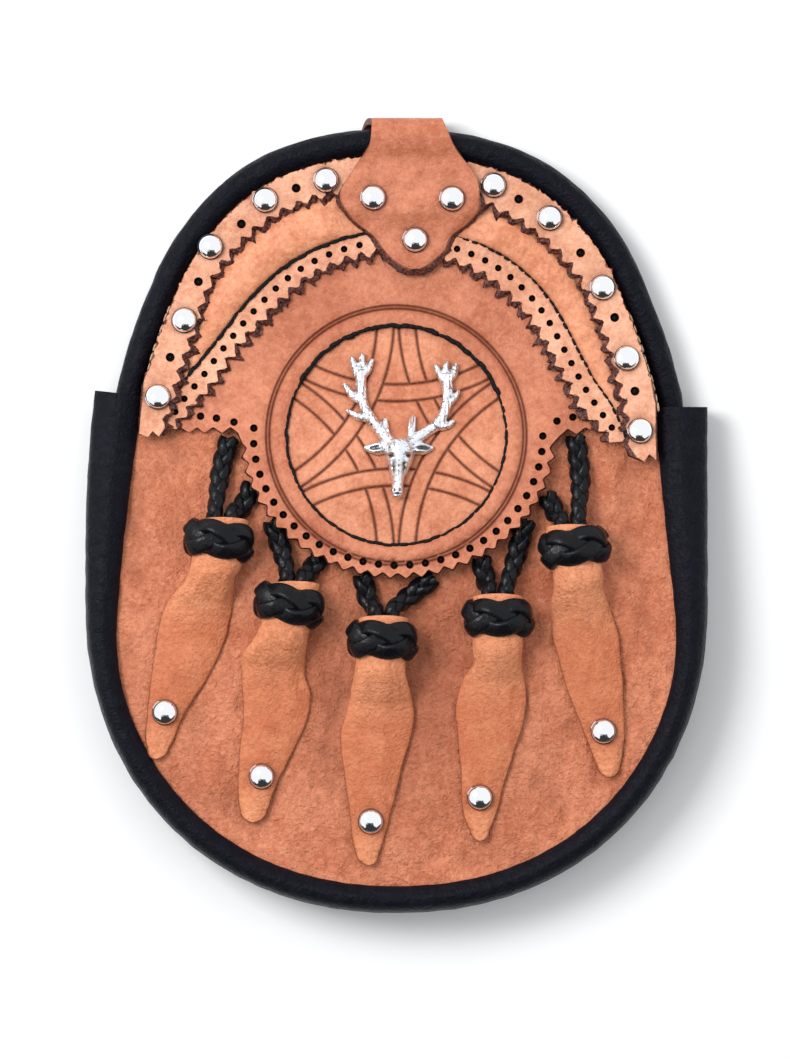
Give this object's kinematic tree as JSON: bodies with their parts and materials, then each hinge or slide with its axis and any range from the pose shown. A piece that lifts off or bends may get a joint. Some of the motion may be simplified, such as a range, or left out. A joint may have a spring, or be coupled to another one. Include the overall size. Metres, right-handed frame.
{
  "type": "sporran pouch",
  "caption": "Leather day sporran: domed hollow pouch with a stacked pinked flap, cast stag head, riveted tab with belt loop and hanging tassels on braided thongs.",
  "frame": {"origin": "centre of the outline on the surface that the back lies on", "axes": "+Z out of the front face, +Y toward the tab and belt loop, +X to the right as seen from the front"},
  "size_m": [0.1872, 0.2394, 0.0346],
  "materials": {
    "tan_leather": "smooth natural tan, fine grain, dark raw edges",
    "tan_panel_leather": "creased natural tan, fine grain",
    "black_leather": "soft black garment leather, low sheen",
    "black_lace": "black plaited lace, semi gloss",
    "nickel": "polished nickel",
    "cast_silver": "bright cast metal with textured relief"
  },
  "bodies": {
    "root": {"back_panel": "black_leather", "gusset": "black_leather", "front_panel": "tan_panel_leather", "rim": "black_leather", "flap_panel": "tan_leather", "medallion": "tan_leather", "crescent_pad": "tan_leather", "inner_strip": "tan_leather", "rivet_band": "tan_leather", "tab_strap": "tan_leather", "band_rivet_1": "nickel", "band_rivet_2": "nickel", "band_rivet_3": "nickel", "band_rivet_4": "nickel", "band_rivet_5": "nickel", "band_rivet_6": "nickel", "band_rivet_7": "nickel", "band_rivet_8": "nickel", "band_rivet_9": "nickel", "band_rivet_10": "nickel", "tab_rivet_1": "nickel", "tab_rivet_2": "nickel", "tab_rivet_3": "nickel", "stag_head": "cast_silver", "tassel_blade_1": "tan_leather", "tassel_knot_1": "black_lace", "braid_1_left": "black_lace", "braid_1_right": "black_lace", "tassel_rivet_1": "nickel", "tassel_blade_2": "tan_leather", "tassel_knot_2": "black_lace", "braid_2_left": "black_lace", "braid_2_right": "black_lace", "tassel_rivet_2": "nickel", "tassel_blade_3": "tan_leather", "tassel_knot_3": "black_lace", "braid_3_left": "black_lace", "braid_3_right": "black_lace", "tassel_rivet_3": "nickel", "tassel_blade_4": "tan_leather", "tassel_knot_4": "black_lace", "braid_4_left": "black_lace", "braid_4_right": "black_lace", "tassel_rivet_4": "nickel", "tassel_blade_5": "tan_leather", "tassel_knot_5": "black_lace", "braid_5_left": "black_lace", "braid_5_right": "black_lace", "tassel_rivet_5": "nickel"}
  },
  "joints": []
}
